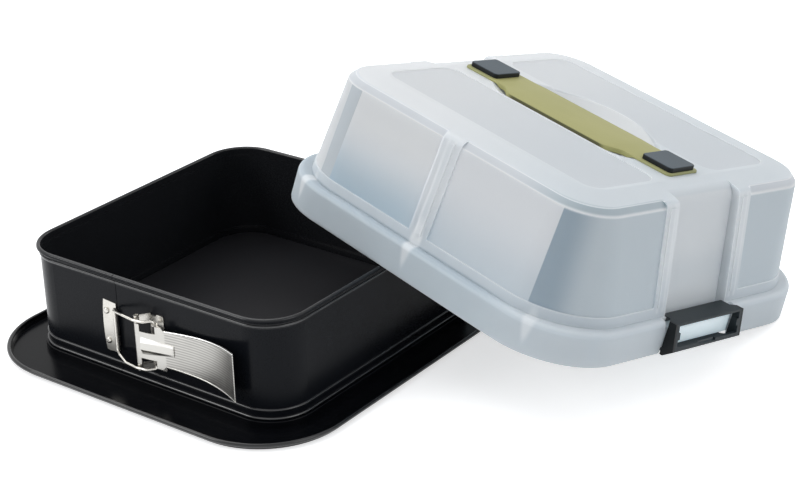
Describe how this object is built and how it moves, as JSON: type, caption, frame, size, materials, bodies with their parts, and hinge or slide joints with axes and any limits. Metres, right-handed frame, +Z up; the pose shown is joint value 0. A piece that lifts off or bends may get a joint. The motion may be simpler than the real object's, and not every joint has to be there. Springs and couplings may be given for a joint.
{
  "type": "cake carrier",
  "caption": "Square springform cake tin on a tray base, with a lift-off frosted carrying hood that has a strap handle and side clips and leans on the tin.",
  "frame": {"origin": "under the middle of the tray base, on the plane of its flange's underside", "axes": "+Z up, +X along the wall with the clasp towards the lever's free end, -Y out through the clasp wall"},
  "size_m": [0.4776, 0.4638, 0.1959],
  "materials": {
    "tray_coating": "satin non-stick coating",
    "ring_coating": "satin non-stick coating",
    "bright_steel": "bright plated, fine drawn lines",
    "frosted_plastic": "frosted translucent polypropylene",
    "strap_plastic": "soft matt, olive green",
    "cap_plastic": "satin slate grey",
    "clip_plastic": "satin dark grey"
  },
  "bodies": {
    "ring": {"ring_wall": "ring_coating", "catch_plate": "bright_steel", "catch_plate_rivets": "bright_steel", "lever_bracket": "bright_steel", "lever_bracket_rivets": "bright_steel", "lever_pivot_pin": "bright_steel"},
    "base": {"base_tray": "tray_coating"},
    "lever": {"clasp_lever": "bright_steel"},
    "bail": {"wire_bail": "bright_steel"},
    "hood": {"hood_shell": "frosted_plastic", "handle_strap": "strap_plastic", "handle_cap_left": "cap_plastic", "handle_cap_right": "cap_plastic"},
    "clip_right": {"side_clip_right": "clip_plastic"},
    "clip_left": {"side_clip_left": "clip_plastic"}
  },
  "joints": [
    {"name": "base_release", "type": "slide", "parent": "ring", "child": "base", "axis": [0, 0, -1], "range_m": [0, 0.03]},
    {"name": "clasp_open", "type": "hinge", "parent": "ring", "child": "lever", "pos_m": [-0.0005, -0.1215, 0.0411], "axis": [0, 0, -1], "range_deg": [0, 150]},
    {"name": "bail_swing", "type": "hinge", "parent": "lever", "child": "bail", "pos_m": [0.013, -0.1178, 0.0411], "axis": [0, 0, -1], "range_deg": [-135, 0]},
    {"name": "hood_lift", "type": "slide", "parent": "ring", "child": "hood", "axis": [0, 0, 1], "range_m": [0, 0.12]},
    {"name": "clip_right_open", "type": "hinge", "parent": "hood", "child": "clip_right", "pos_m": [0.305, 0.12355, 0.048], "axis": [-0.1444, -0.9682, 0.2044], "range_deg": [0, 55]},
    {"name": "clip_left_open", "type": "hinge", "parent": "hood", "child": "clip_left", "pos_m": [0.02762, 0.17486, 0.09517], "axis": [0.1444, 0.9682, -0.2044], "range_deg": [0, 55]}
  ],
  "couplings": [
    {"joint": "bail_swing", "follows": "clasp_open", "ratio": -0.9}
  ]
}
